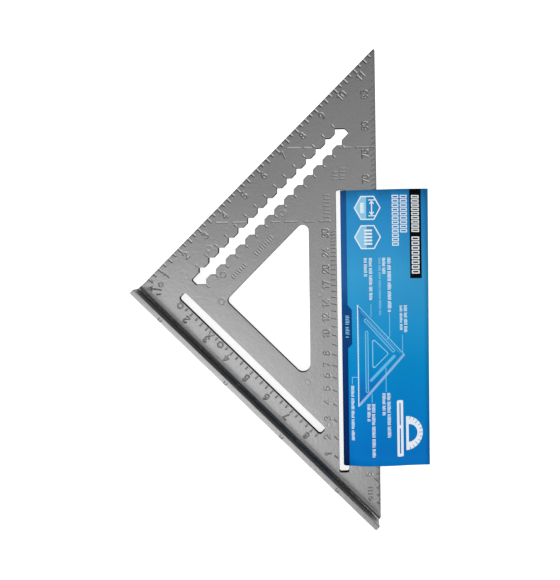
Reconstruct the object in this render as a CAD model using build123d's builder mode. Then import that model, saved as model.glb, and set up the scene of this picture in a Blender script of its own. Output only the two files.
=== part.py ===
from build123d import *
import math
import os

# Rafter square, 12 inch class: a right-angled isosceles blade with a T-section
# fence along one leg, one aluminium die casting, and the printed card sleeve
# that wraps the strip of blade along the hypotenuse.
# Millimetres. +X runs along the fence from the pivot corner, +Y runs along the
# ruler leg, +Z leaves the marked face. The origin is the pivot corner, at mid
# blade thickness, on the fence's inner face.
# Names ending in SUM are values of X + Y and place a line parallel to the
# hypotenuse. Names ending in DIF are values of X - Y, a place along it.

INCH = 25.4
SQRT2 = math.sqrt(2)
TOL = 0.01                  # for picking vertices and edges by position

# Blade
BLADE_T = 4.5               # thickness
LEG_SUM = 307.5             # hypotenuse edge
TIP_R = 1.2                 # rounding of the 45 degree tip on the ruler leg
EDGE_C = 0.35               # broken edges of the outer blade profile
RIM_Y_MIN = 6.0             # edges centred above this Y are broken
BLADE_OVERLAP = 1.5         # how far the blade runs into the fence

# Fence
FENCE_L = 12 * INCH         # along X
FENCE_W = 5.5               # thickness of the fence wall, along Y
FENCE_H = 28.5              # full height, along Z
ROOT_R = 3.6                # cast fillet between fence and blade
STUB_L = ROOT_R + 0.2       # blade part of the T section, just past the fillet
FENCE_OUT_R = 1.2           # rounding of the two outer long edges
FENCE_IN_R = 0.7            # rounding of the two inner long edges
TRIM = 6.0                  # legs' half length of the triangle that trims the stub

# Saw-toothed scribing slot, parallel to the ruler leg. Its notches have
# 45 degree flanks, so a notch is as deep as it is half wide.
SCRIBE_LEFT, SCRIBE_RIGHT = 29.2, 37.8      # crest lines
SCRIBE_TIP_L, SCRIBE_TIP_R = 25.8, 41.3     # notch tips
NOTCH_DEPTH_L = SCRIBE_LEFT - SCRIBE_TIP_L
NOTCH_DEPTH_R = SCRIBE_TIP_R - SCRIBE_RIGHT
NOTCH_COUNT = 15
NOTCH_PITCH = 0.5 * INCH
NOTCHES_L = [2.0 * INCH + k * NOTCH_PITCH for k in range(NOTCH_COUNT)]
NOTCHES_R = [1.75 * INCH + k * NOTCH_PITCH for k in range(NOTCH_COUNT)]
SCRIBE_Y0, SCRIBE_Y1 = 37.9, 235.0
SCRIBE_SETBACK = 0.3        # of the left wall below its first notch
SCRIBE_END_R = 1.5
NOTCH_TIP_R = 0.5

# Slot parallel to the fence
FSLOT_X0, FSLOT_X1 = 32.3, 212.0
FSLOT_Y0, FSLOT_Y1 = 18.1, 25.8
FSLOT_R = 2.5

# Triangular hand opening
HAND_X, HAND_Y, HAND_SUM = 64.4, 46.5, 218.8
HAND_R_CORNER, HAND_R_TOP, HAND_R_RIGHT = 4.0, 5.7, 6.8

# Slot along the hypotenuse
HSLOT_SUM0, HSLOT_SUM1 = 254.5, 267.4
HSLOT_DIF0, HSLOT_DIF1 = -123.0, 243.3
HSLOT_R = 2.0

# Graduations: grooves sunk in the marked face
GROOVE_D = 0.35
LEG_OVERRUN = 0.3           # ruler grooves start this far outside the edge
DEGREE_SUM = LEG_SUM + 0.6  # degree grooves start outside the hypotenuse
DEGREE_FIRST, DEGREE_LAST = 2, 89
HIP_SUM = HSLOT_SUM0 - 0.9  # start of the hip and valley grooves
HIP_RUN = 17                # hip and valley slopes are n in 17
HIP_COUNT = 30
FSLOT_SKIPPED = 14          # quarter inch left out of the fence slot scale

# Card sleeve, folded round the hypotenuse strip
CARD_T = 0.45
SLEEVE_FOLD_SUM = 260.2     # outside of the fold
SLEEVE_DIF0 = -121.9        # end next to the slot's tip end
SLEEVE_L = 251.5            # along the fold
SLEEVE_W = 78.7             # fold to outer edge
FOLD_R = 3.0                # outside radius of the fold
SEAM_MID = 6.0              # height of the glued seam above mid blade thickness
SEAM_W = 69.5               # the two panels meet from here outwards

# Outer faces of the panels between fold and seam: (distance from fold, Z).
# The marked side's panel stays nearly level past the blade; the other rises
# to meet it.
MARKED_PANEL = [(14.0, 4.9), (30.0, 6.1), (48.0, 6.9)]
BACK_PANEL = [(14.0, -4.5), (30.0, -4.3), (48.0, -0.9)]

# Glue strip
GLUE_T = 0.15
GLUE_W0, GLUE_W1 = 71.0, 77.9   # distances from the fold
GLUE_MARGIN = 1.6               # from each end of the sleeve
GLUE_R = GLUE_T / 2 - 0.005


def plan_point(total, dif):
    """Plan point from X + Y and X - Y."""
    return ((total + dif) / 2, (total - dif) / 2)


# Section plane of the sleeve at its tip end: X leaves the fold away from the
# pivot, Y is the square's Z, and the normal runs along the fold.
ACROSS = Plane(
    origin=(*plan_point(SLEEVE_FOLD_SUM, SLEEVE_DIF0), 0),
    x_dir=(1 / SQRT2, 1 / SQRT2, 0),
    z_dir=(1 / SQRT2, -1 / SQRT2, 0),
)


# ------------------------------------------------------------ scribing slot
def scribe_outline():
    """Corner points of the saw-toothed slot, anticlockwise from its bottom left."""
    set_back_x = SCRIBE_LEFT - SCRIBE_SETBACK
    points = [(set_back_x, SCRIBE_Y0)]
    # the bottom runs into the lower flank of the first right-hand notch
    points.append((SCRIBE_TIP_R - (NOTCHES_R[0] - SCRIBE_Y0), SCRIBE_Y0))
    for k, y in enumerate(NOTCHES_R):
        if k > 0:
            points.append((SCRIBE_RIGHT, y - NOTCH_DEPTH_R))
        points.append((SCRIBE_TIP_R, y))
        points.append((SCRIBE_RIGHT, y + NOTCH_DEPTH_R))
    points.append((SCRIBE_RIGHT, SCRIBE_Y1))
    # the top runs into the upper flank of the last left-hand notch
    points.append((SCRIBE_TIP_L + (SCRIBE_Y1 - NOTCHES_L[-1]), SCRIBE_Y1))
    for k, y in enumerate(reversed(NOTCHES_L)):
        if k > 0:
            points.append((SCRIBE_LEFT, y + NOTCH_DEPTH_L))
        points.append((SCRIBE_TIP_L, y))
        points.append((SCRIBE_LEFT, y - NOTCH_DEPTH_L))
    points.append((set_back_x, NOTCHES_L[0] - NOTCH_DEPTH_L - SCRIBE_SETBACK))
    return points


# -------------------------------------------------------------- graduations
def groove(x, y, dx, dy, length):
    """Location of a groove that starts at (x, y) and runs along (dx, dy)."""
    norm = math.hypot(dx, dy)
    angle = math.degrees(math.atan2(dy, dx))
    return Location((x + dx / norm * length / 2, y + dy / norm * length / 2, 0), (0, 0, angle))


def leg_grooves(quarters, length):
    """Ruler grooves, running out through the leg's edge."""
    return [groove(-LEG_OVERRUN, q * INCH / 4, 1, 0, length) for q in quarters]


def fence_slot_grooves(quarters, gap, length):
    """Grooves that hang from the fence slot, a gap below it."""
    return [
        groove(q * INCH / 4, FSLOT_Y0 - gap, 0, -1, length)
        for q in quarters if q != FSLOT_SKIPPED
    ]


def ray_groove(run, rise, total, length):
    """Groove towards the pivot, from where the ray (run, rise) meets X + Y = total."""
    scale = total / (run + rise)
    return groove(run * scale, rise * scale, -run, -rise, length)


def degree_grooves(degrees, length):
    return [
        ray_groove(math.cos(math.radians(a)), math.sin(math.radians(a)), DEGREE_SUM, length)
        for a in degrees
    ]


def notch_grooves(length):
    """Index grooves outside the scribing notches."""
    left = [groove(SCRIBE_TIP_L - 0.525, y, -1, 0, length) for y in NOTCHES_L]
    right = [groove(SCRIBE_TIP_R + 0.375, y, 1, 0, length) for y in NOTCHES_R]
    return left + right


def groove_sets():
    """Every set of equal grooves: (locations, length, width)."""
    degrees = range(DEGREE_FIRST, DEGREE_LAST + 1)
    ones = [a for a in degrees if a % 5]
    fives = [a for a in degrees if a % 5 == 0]
    hip = [ray_groove(HIP_RUN, n, HIP_SUM, 4.6) for n in range(1, HIP_COUNT + 1)]
    return [
        # ruler leg, 1/2 to 11 3/4 inches: halves, then odd quarters
        (leg_grooves(range(2, 48, 2), 6.1), 6.1, 1.0),
        (leg_grooves(range(3, 48, 2), 4.5), 4.5, 1.0),
        # fence slot, 1 3/4 to 8 1/4 inches: halves, then odd quarters
        (fence_slot_grooves(range(8, 34, 2), 0.3, 4.7), 4.7, 1.2),
        (fence_slot_grooves(range(7, 34, 2), 0.45, 3.8), 3.8, 1.2),
        # hip and valley scale, on the pivot side of the hypotenuse slot
        (hip, 4.6, 0.9),
        # degrees round the pivot
        (degree_grooves(ones, 5.6), 5.6, 0.8),
        (degree_grooves(fives, 8.6), 8.6, 0.9),
        (notch_grooves(3.35), 3.35, 0.9),
    ]


# ------------------------------------------------------------------ casting
def make_square():
    half_t = BLADE_T / 2
    half_h = FENCE_H / 2
    corner_y = LEG_SUM - FENCE_L    # where the hypotenuse meets the fence's end

    with BuildPart() as square:
        # blade, with its outer edges broken on both faces
        with BuildSketch():
            with BuildLine():
                Polyline(
                    (0, -BLADE_OVERLAP), (FENCE_L, -BLADE_OVERLAP),
                    (FENCE_L, corner_y), (0, LEG_SUM), close=True,
                )
            make_face()
            fillet(vertices().sort_by(Axis.Y)[-1], TIP_R)
        extrude(amount=half_t, both=True)
        rim = [
            e for e in edges()
            if abs(abs(e.center().Z) - half_t) < TOL and e.center().Y > RIM_Y_MIN
        ]
        chamfer(rim, EDGE_C)

        # fence with its root fillets, as one T section; sketch X is Y, sketch Y is Z
        with BuildSketch(Plane.YZ):
            with BuildLine():
                Polyline(
                    (-FENCE_W, -half_h), (0, -half_h), (0, -half_t), (STUB_L, -half_t),
                    (STUB_L, half_t), (0, half_t), (0, half_h), (-FENCE_W, half_h),
                    close=True,
                )
            make_face()
            fillet([v for v in vertices()
                    if abs(v.X) < TOL and abs(abs(v.Y) - half_t) < TOL], ROOT_R)
            fillet([v for v in vertices() if abs(v.X + FENCE_W) < TOL], FENCE_OUT_R)
            fillet([v for v in vertices()
                    if abs(v.X) < TOL and abs(abs(v.Y) - half_h) < TOL], FENCE_IN_R)
        extrude(amount=FENCE_L)

        # the stub is trimmed back to the hypotenuse
        with BuildSketch():
            with BuildLine():
                Polyline(
                    (FENCE_L - TRIM, corner_y + TRIM), (FENCE_L + TRIM, corner_y - TRIM),
                    (FENCE_L + TRIM, corner_y + TRIM), close=True,
                )
            make_face()
        extrude(amount=FENCE_H, both=True, mode=Mode.SUBTRACT)

        # scribing slot; the lowest and highest notch tips stay sharp
        with BuildSketch():
            with BuildLine():
                Polyline(*scribe_outline(), close=True)
            make_face()
            fillet([v for v in vertices()
                    if v.Y < SCRIBE_Y0 + TOL or v.Y > SCRIBE_Y1 - TOL], SCRIBE_END_R)
            fillet([v for v in vertices()
                    if NOTCHES_R[0] + 1 < v.Y < NOTCHES_L[-1] - 1
                    and (abs(v.X - SCRIBE_TIP_L) < TOL or abs(v.X - SCRIBE_TIP_R) < TOL)],
                   NOTCH_TIP_R)
        extrude(amount=BLADE_T, both=True, mode=Mode.SUBTRACT)

        # fence slot
        with BuildSketch():
            with Locations(((FSLOT_X0 + FSLOT_X1) / 2, (FSLOT_Y0 + FSLOT_Y1) / 2)):
                RectangleRounded(FSLOT_X1 - FSLOT_X0, FSLOT_Y1 - FSLOT_Y0, FSLOT_R)
        extrude(amount=BLADE_T, both=True, mode=Mode.SUBTRACT)

        # hand opening
        with BuildSketch():
            with BuildLine():
                Polyline(
                    (HAND_X, HAND_Y), (HAND_SUM - HAND_Y, HAND_Y),
                    (HAND_X, HAND_SUM - HAND_X), close=True,
                )
            make_face()
            fillet(vertices().sort_by(Axis.Y)[-1], HAND_R_TOP)
            fillet(vertices().sort_by(Axis.X)[-1], HAND_R_RIGHT)
            fillet([v for v in vertices()
                    if abs(v.X - HAND_X) < TOL and abs(v.Y - HAND_Y) < TOL], HAND_R_CORNER)
        extrude(amount=BLADE_T, both=True, mode=Mode.SUBTRACT)

        # hypotenuse slot
        hslot_mid = plan_point((HSLOT_SUM0 + HSLOT_SUM1) / 2, (HSLOT_DIF0 + HSLOT_DIF1) / 2)
        with BuildSketch():
            with Locations(Location((*hslot_mid, 0), (0, 0, -45))):
                RectangleRounded(
                    (HSLOT_DIF1 - HSLOT_DIF0) / SQRT2, (HSLOT_SUM1 - HSLOT_SUM0) / SQRT2,
                    HSLOT_R,
                )
        extrude(amount=BLADE_T, both=True, mode=Mode.SUBTRACT)

        # graduations
        with BuildSketch(Plane.XY.offset(half_t)):
            for places, length, width in groove_sets():
                with Locations(*places):
                    Rectangle(length, width)
        extrude(amount=-GROOVE_D, mode=Mode.SUBTRACT)
    return square.part


# ------------------------------------------------------------------- sleeve
def panel_curve(stations, side, inset):
    """Points of a panel's curve from fold to seam, moved into the sleeve by inset.
    side is 1 for the marked side and -1 for the other."""
    seam_z = SEAM_MID + side * (GLUE_T / 2 + CARD_T)
    outer = [(FOLD_R, side * FOLD_R), *stations, (SEAM_W, seam_z)]
    return [(w, z - side * inset) for w, z in outer]


def make_card_sleeve():
    up_out, up_in = [panel_curve(MARKED_PANEL, 1, inset) for inset in (0, CARD_T)]
    down_out, down_in = [panel_curve(BACK_PANEL, -1, inset) for inset in (0, CARD_T)]
    level = [(1, 0), (1, 0)]    # tangents at fold and seam

    with BuildPart() as card_sleeve:
        with BuildSketch(ACROSS):
            with BuildLine():
                Spline(*up_out, tangents=level)
                Polyline(up_out[-1], (SLEEVE_W, up_out[-1][1]),
                         (SLEEVE_W, up_in[-1][1]), up_in[-1])
                Spline(*up_in, tangents=level)
                ThreePointArc(up_in[0], (CARD_T, 0), down_in[0])
                Spline(*down_in, tangents=level)
                Polyline(down_in[-1], (SLEEVE_W, down_in[-1][1]),
                         (SLEEVE_W, down_out[-1][1]), down_out[-1])
                Spline(*down_out, tangents=level)
                ThreePointArc(down_out[0], (0, 0), up_out[0])
            make_face()
        extrude(amount=SLEEVE_L)
    return card_sleeve.part


def make_glue_strip():
    """Line of adhesive between the two panels, along their outer edge."""
    with BuildPart() as glue_strip:
        with BuildSketch(ACROSS.offset(GLUE_MARGIN)):
            with Locations(((GLUE_W0 + GLUE_W1) / 2, SEAM_MID)):
                RectangleRounded(GLUE_W1 - GLUE_W0, GLUE_T, GLUE_R)
        extrude(amount=SLEEVE_L - 2 * GLUE_MARGIN)
    return glue_strip.part


os.makedirs("parts", exist_ok=True)
for name, part in (
    ("square", make_square()),
    ("card_sleeve", make_card_sleeve()),
    ("glue_strip", make_glue_strip()),
):
    part.label = name
    export_step(part, f"parts/{name}.step")
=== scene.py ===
import math

import bmesh
import bpy
import numpy as np
from mathutils import Matrix, Vector
from mathutils.geometry import delaunay_2d_cdt


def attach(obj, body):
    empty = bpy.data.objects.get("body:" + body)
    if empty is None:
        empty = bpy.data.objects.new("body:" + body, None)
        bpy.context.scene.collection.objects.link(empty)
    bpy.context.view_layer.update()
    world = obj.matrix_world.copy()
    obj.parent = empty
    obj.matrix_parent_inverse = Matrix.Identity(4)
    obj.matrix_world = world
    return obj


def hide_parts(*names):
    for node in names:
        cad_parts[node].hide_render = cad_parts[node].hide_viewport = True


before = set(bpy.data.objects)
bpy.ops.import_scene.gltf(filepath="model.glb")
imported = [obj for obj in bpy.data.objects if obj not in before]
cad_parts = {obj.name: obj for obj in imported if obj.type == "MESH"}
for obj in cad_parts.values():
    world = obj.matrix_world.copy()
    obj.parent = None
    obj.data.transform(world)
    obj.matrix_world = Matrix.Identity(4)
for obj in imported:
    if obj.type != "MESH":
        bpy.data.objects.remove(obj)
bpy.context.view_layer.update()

# All lengths below are millimetres in the row frame, and become metres when a mesh is made.
MM = 0.001
INCH = 25.4
S2 = math.sqrt(2.0)

# ------------------------------------------------------------------ sizes
T = 4.5 / 2                     # half blade thickness
LEG_SUM = 307.5
TIP_R = 1.2
FL, FW, FH = 12 * INCH, 5.5, 28.5 / 2
ROOT_R, F_OUT_R, F_IN_R = 3.6, 1.2, 0.7
CORNER = 2.5                    # the fence end is square up to here
SCR_L, SCR_R, SCR_TL, SCR_TR = 29.2, 37.8, 25.8, 41.3
SCR_FL, SCR_FR, SCR_N, SCR_P = 2 * INCH, 1.75 * INCH, 15, 0.5 * INCH
SCR_Y0, SCR_Y1 = 37.9, 235.0
FS = (32.3, 212.0, 18.1, 25.8, 2.5)
HAND_X, HAND_Y, HAND_SUM = 64.4, 46.5, 218.8
HS = (254.5, 267.4, -123.0, 243.3, 2.0)
BEVEL_OUT, BEVEL_IN = 0.95, 0.32
END_R = 0.62                    # rounding round the fence ends
DEPTH = 0.48

CARD_T, FOLD_SUM, DIF0, SL, SW = 0.45, 260.2, -121.9, 251.5, 78.7
FOLD_R, SEAM_W, GLUE_T, SEAM_MID = 3.0, 69.5, 0.15, 6.0
SEAM_Z = GLUE_T / 2 + CARD_T


# ------------------------------------------------------------- plan helpers
def area(p):
    x, y = np.array(p).T
    return 0.5 * float(np.dot(x, np.roll(y, -1)) - np.dot(y, np.roll(x, -1)))


def ccw(p):
    return list(p) if area(p) > 0 else list(reversed(p))


def round_poly(pts, radii, seg=6):
    """A closed polygon with each corner rounded to its own radius."""
    out = []
    n = len(pts)
    for i in range(n):
        p, a, b = np.array(pts[i]), np.array(pts[i - 1]), np.array(pts[(i + 1) % n])
        r = radii[i] if isinstance(radii, (list, tuple)) else radii
        ua, ub = (a - p) / np.linalg.norm(a - p), (b - p) / np.linalg.norm(b - p)
        th = math.acos(max(-1, min(1, float(ua @ ub))))
        if r <= 0 or th > math.radians(177):
            out.append(tuple(p))
            continue
        t = r / math.tan(th / 2)
        bis = (ua + ub) / np.linalg.norm(ua + ub)
        c = p + bis * r / math.sin(th / 2)
        s, e = p + ua * t - c, p + ub * t - c
        a0 = math.atan2(s[1], s[0])
        d = (math.atan2(e[1], e[0]) - a0 + math.pi) % (2 * math.pi) - math.pi
        k = max(2, int(round(seg * abs(d) / (math.pi / 2) + 1)))
        for j in range(k + 1):
            ang = a0 + d * j / k
            out.append((c[0] + r * math.cos(ang), c[1] + r * math.sin(ang)))
    return out


def offset_loop(loop, d):
    """Closed loop moved to its left by d, a number or one per vertex."""
    p = np.array(loop, float)
    e = np.roll(p, -1, 0) - p
    e /= np.linalg.norm(e, axis=1)[:, None]
    n = np.c_[-e[:, 1], e[:, 0]]
    m = n + np.roll(n, 1, 0)
    m /= np.maximum(1e-9, (m * n).sum(1))[:, None]
    return p + m * np.asarray(d, float).reshape(-1, 1)


def seg_dist(P, A, B):
    """Distance from each point to each segment, in blocks: yields (slice, distances)."""
    A, B = np.asarray(A, float), np.asarray(B, float)
    d = B - A
    L2 = np.maximum((d * d).sum(1), 1e-12)
    for k in range(0, len(P), 600):
        q = P[k:k + 600]
        t = np.clip(((q[:, None] - A[None]) * d[None]).sum(2) / L2[None], 0, 1)
        c = A[None] + t[..., None] * d[None]
        yield slice(k, k + 600), np.sqrt(((q[:, None] - c) ** 2).sum(2))


def outline(pts, r, cap=4):
    """Anticlockwise outline of a stroke of radius r with round ends."""
    p = np.asarray(pts, float)
    d = np.diff(p, axis=0)
    d /= np.linalg.norm(d, axis=1)[:, None]
    n = np.c_[-d[:, 1], d[:, 0]]
    vn = [n[0]]
    for i in range(1, len(p) - 1):
        m = n[i - 1] + n[i]
        vn.append(m / max(0.3, float(m @ n[i])))
    vn.append(n[-1])
    vn = np.array(vn)
    right, left = p - r * vn, p + r * vn
    out = [tuple(q) for q in right]
    a = math.atan2(d[-1][1], d[-1][0]) - math.pi / 2
    for j in range(1, cap * 2):
        g = a + math.pi * j / (cap * 2)
        out.append((p[-1][0] + r * math.cos(g), p[-1][1] + r * math.sin(g)))
    out += [tuple(q) for q in left[::-1]]
    a = math.atan2(d[0][1], d[0][0]) + math.pi / 2
    for j in range(1, cap * 2):
        g = a + math.pi * j / (cap * 2)
        out.append((p[0][0] + r * math.cos(g), p[0][1] + r * math.sin(g)))
    return out


def arc_pts(cx, cy, rx, ry, a0, a1, n):
    return [(cx + rx * math.cos(math.radians(a0 + (a1 - a0) * i / n)),
             cy + ry * math.sin(math.radians(a0 + (a1 - a0) * i / n))) for i in range(n + 1)]


def quad(p0, p1, p2, n=6):
    return [tuple((1 - t) ** 2 * np.array(p0) + 2 * t * (1 - t) * np.array(p1) + t * t * np.array(p2))
            for t in [i / n for i in range(n + 1)]]


# numerals as single strokes, one unit high, centred
_ring = lambda cy, rx, ry: [arc_pts(0, cy, rx, ry, -90, 90, 8), arc_pts(0, cy, rx, ry, 90, 270, 8)]
DIGIT = {
    "0": [[(-0.29, 0.2), (-0.29, -0.2)], [(0.29, -0.2), (0.29, 0.2)],
          arc_pts(0, 0.2, 0.29, 0.3, 0, 180, 8), arc_pts(0, -0.2, 0.29, 0.3, 180, 360, 8)],
    "1": [[(0.06, -0.5), (0.06, 0.5)], [(0.06, 0.5), (-0.17, 0.28)]],
    "2": [arc_pts(0, 0.2, 0.29, 0.3, 168, -38, 9) + [(-0.29, -0.47)], [(-0.29, -0.5), (0.31, -0.5)]],
    "3": [arc_pts(-0.02, 0.25, 0.27, 0.25, 152, -85, 9), arc_pts(-0.02, -0.23, 0.3, 0.27, 85, -152, 10)],
    "4": [[(0.12, -0.5), (0.12, 0.5)], [(0.12, 0.5), (-0.3, -0.2)], [(-0.3, -0.2), (0.32, -0.2)]],
    "5": [[(0.26, 0.5), (-0.22, 0.5)], [(-0.22, 0.5), (-0.26, 0.06)], arc_pts(-0.02, -0.19, 0.31, 0.31, 140, -150, 11)],
    "6": _ring(-0.2, 0.29, 0.3) + [quad((-0.29, -0.2), (-0.29, 0.36), (0.16, 0.5))],
    "7": [[(-0.29, 0.5), (0.3, 0.5)], [(0.3, 0.5), (-0.12, -0.5)]],
    "8": _ring(0.26, 0.24, 0.24) + _ring(-0.22, 0.29, 0.28),
    "9": [[(-x, -y) for x, y in s] for s in _ring(-0.2, 0.29, 0.3) + [quad((-0.29, -0.2), (-0.29, 0.36), (0.16, 0.5))]],
}


def number(txt, cx, cy, h, u, v, adv=0.76):
    """Strokes of a number centred on (cx, cy), reading along u with its top towards v."""
    u, v = np.array(u, float) / np.linalg.norm(u), np.array(v, float) / np.linalg.norm(v)
    out = []
    for i, ch in enumerate(txt):
        o = np.array([cx, cy]) + u * h * adv * (i - (len(txt) - 1) / 2)
        for s in DIGIT[ch]:
            out.append([tuple(o + u * h * x + v * h * y) for x, y in s])
    return out


def ring_marks(cx, cy, r):
    return [arc_pts(cx, cy, r, r, -90, 90, 12), arc_pts(cx, cy, r, r, 90, 270, 12)]


def hatch(cx, cy, u, v, n, pitch, h):
    """A row of n short bars along u, each h long towards v: a neutral stand-in for a caption."""
    u, v = np.array(u, float) / np.linalg.norm(u), np.array(v, float) / np.linalg.norm(v)
    out = []
    for i in range(n):
        o = np.array([cx, cy]) + u * pitch * (i - (n - 1) / 2)
        out.append([tuple(o - v * h / 2), tuple(o + v * h / 2)])
    return out


# ------------------------------------------------------------- blade outline
# degrees round the root fillet, from the fence out: first as far as the fence's square end goes, then the rest
FILLET = [90, 77, 64, 51, 38, 27.5, math.degrees(math.asin(1 - CORNER / ROOT_R))]
fil_y = [ROOT_R - ROOT_R * math.sin(math.radians(a)) for a in FILLET]
fil_z = [T + ROOT_R - ROOT_R * math.cos(math.radians(a)) for a in FILLET]
out_y = [ROOT_R - ROOT_R * math.sin(math.radians(a)) for a in (13, 7, 0)]

TAPER0, TAPER1 = CORNER, CORNER + 2.6          # the broken edge fades out into the fence


def taper(y):
    t = np.clip((np.asarray(y, float) - TAPER0) / (TAPER1 - TAPER0), 0, 1)
    return t * t * (3 - 2 * t)


tip = round_poly([(FL, LEG_SUM - FL), (0, LEG_SUM), (0, 0)], [0, TIP_R, 0], seg=5)[1:-1]


def end_share(y):
    """How much of the fence end's rounding is left at height y above the fence: all at the fence, none on the blade."""
    t = np.clip(np.asarray(y, float) / CORNER, 0, 1)
    return (1 - t * t * (3 - 2 * t)) * END_R


outer = [(float(end_share(0)), 0.0), (FL - float(end_share(0)), 0.0)]
outer += [(FL - float(end_share(y)), y) for y in fil_y[1:]]
I_FAR = len(outer) - 1                          # (FL, CORNER)
outer += [(FL, LEG_SUM - FL)]
outer += [(LEG_SUM - y, y) for y in (3.3, 3.9, 4.5, TAPER1)]
outer += [(LEG_SUM - y, y) for y in (60, 120, 180, 240, 290)]
outer += tip
outer += [(0.0, y) for y in (280, 220, 160, 100, 40, TAPER1, 4.5, 3.9, 3.3)]
I_NEAR = len(outer)                             # (0, CORNER)
outer += [(float(end_share(y)), y) for y in fil_y[:0:-1]]


def scribe_outline():
    dr, dl = SCR_TR - SCR_R, SCR_L - SCR_TL
    pts, rad = [(SCR_L - 0.3, SCR_Y0)], [1.6]
    pts.append((SCR_TR - (SCR_FR - SCR_Y0), SCR_Y0)), rad.append(1.5)
    for k in range(SCR_N):
        y = SCR_FR + k * SCR_P
        if k:
            pts.append((SCR_R, y - dr)), rad.append(0.7)
        pts.append((SCR_TR, y)), rad.append(0.55)
        pts.append((SCR_R, y + dr)), rad.append(0.7)
    pts.append((SCR_R, SCR_Y1)), rad.append(1.6)
    last = SCR_FL + (SCR_N - 1) * SCR_P
    pts.append((SCR_TL + (SCR_Y1 - last), SCR_Y1)), rad.append(1.5)
    for k in reversed(range(SCR_N)):
        y = SCR_FL + k * SCR_P
        if k < SCR_N - 1:
            pts.append((SCR_L, y + dl)), rad.append(0.7)
        pts.append((SCR_TL, y)), rad.append(0.55)
        pts.append((SCR_L, y - dl)), rad.append(0.7 if k else 0.4)
    pts.append((SCR_L - 0.3, SCR_FL - dl - 0.6)), rad.append(0.4)
    return round_poly(pts, rad, seg=4)


def slot_outline(x0, x1, y0, y1, r, seg=7):
    return round_poly([(x0, y0), (x1, y0), (x1, y1), (x0, y1)], r, seg)


def turned(loop):
    """From (along, across) of the hypotenuse slot to plan: along = (X - Y)/sqrt2, across = (X + Y)/sqrt2."""
    return [((c + a) / S2, (c - a) / S2) for a, c in loop]


openings = [
    ccw(scribe_outline()),
    ccw(slot_outline(*FS)),
    ccw(round_poly([(HAND_X, HAND_Y), (HAND_SUM - HAND_Y, HAND_Y), (HAND_X, HAND_SUM - HAND_X)],
                   [4.0, 6.8, 5.7], seg=9)),
    ccw(turned(slot_outline(HS[2] / S2, HS[3] / S2, HS[0] / S2, HS[1] / S2, HS[4]))),
]

# ------------------------------------------------------------- marks
# each: (points, rim radius, floor radius, depth)
def ruler_ticks():
    out = []
    for q in range(2, 48):
        y = q * INCH / 4
        out.append(([(-1.5, y - 0.65), ((4.9 if q % 2 == 0 else 3.4), y - 0.65)], 1.16, 0.12, DEPTH))
    return out


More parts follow.
